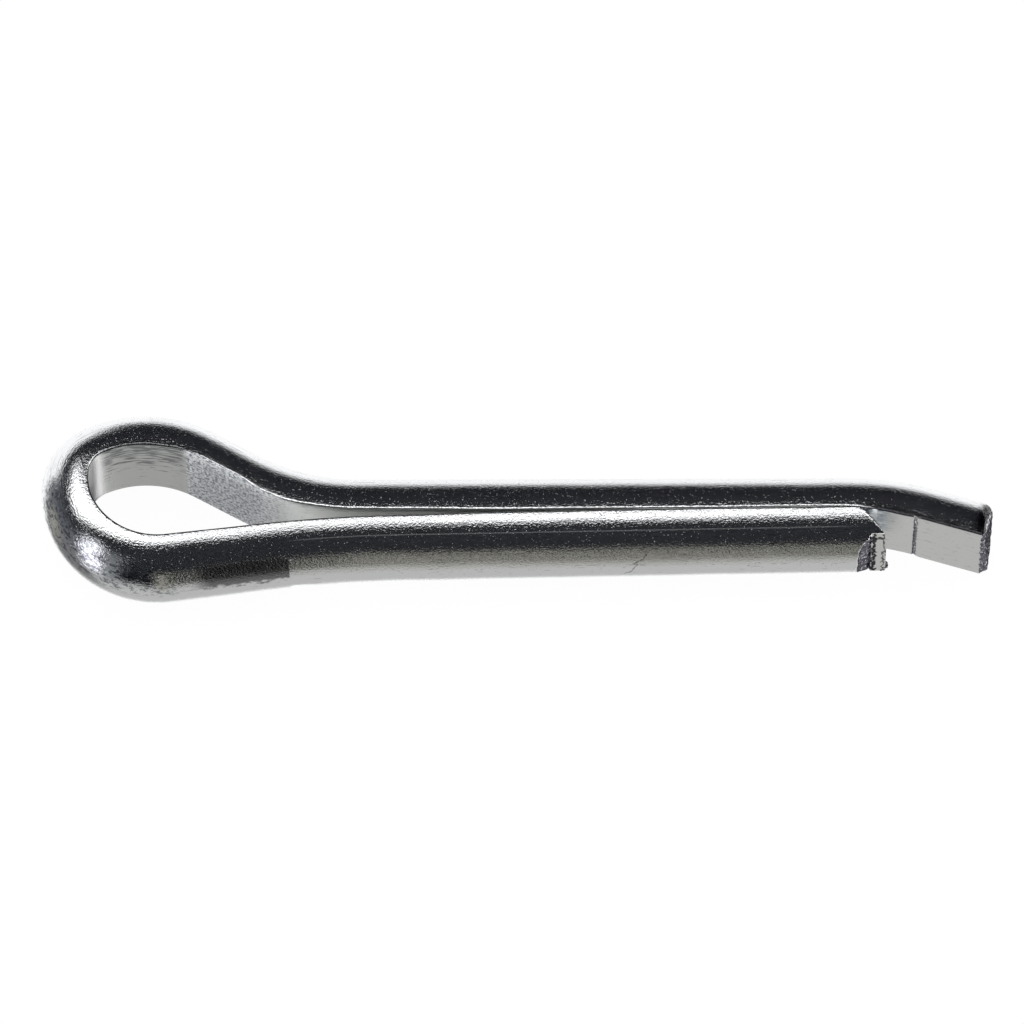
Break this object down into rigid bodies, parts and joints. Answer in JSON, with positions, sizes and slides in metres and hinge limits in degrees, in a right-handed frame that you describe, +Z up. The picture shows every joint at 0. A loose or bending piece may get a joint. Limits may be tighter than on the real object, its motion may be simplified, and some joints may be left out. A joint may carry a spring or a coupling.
{
  "type": "hammer-lock split pin",
  "caption": "Zinc-plated split pin bent from half-round wire, with a lopsided eye, a wedge-ended short leg and a long leg whose tip bends across it, to lock a rod or clevis pin when hammered.",
  "frame": {"origin": "on the shank's axis, midway between the two legs' flats, in the plane under the eye that seats on a hole's rim", "axes": "+X along the shank towards the tips, +Y towards the long leg, +Z up out of the loop's plane"},
  "size_m": [0.0582, 0.012, 0.0056],
  "materials": {
    "zinc_plated_steel": "bright zinc plate over drawn steel wire, polished on the round side and grainy on the flat"
  },
  "bodies": {
    "root": {"split_pin": "zinc_plated_steel"}
  },
  "joints": []
}
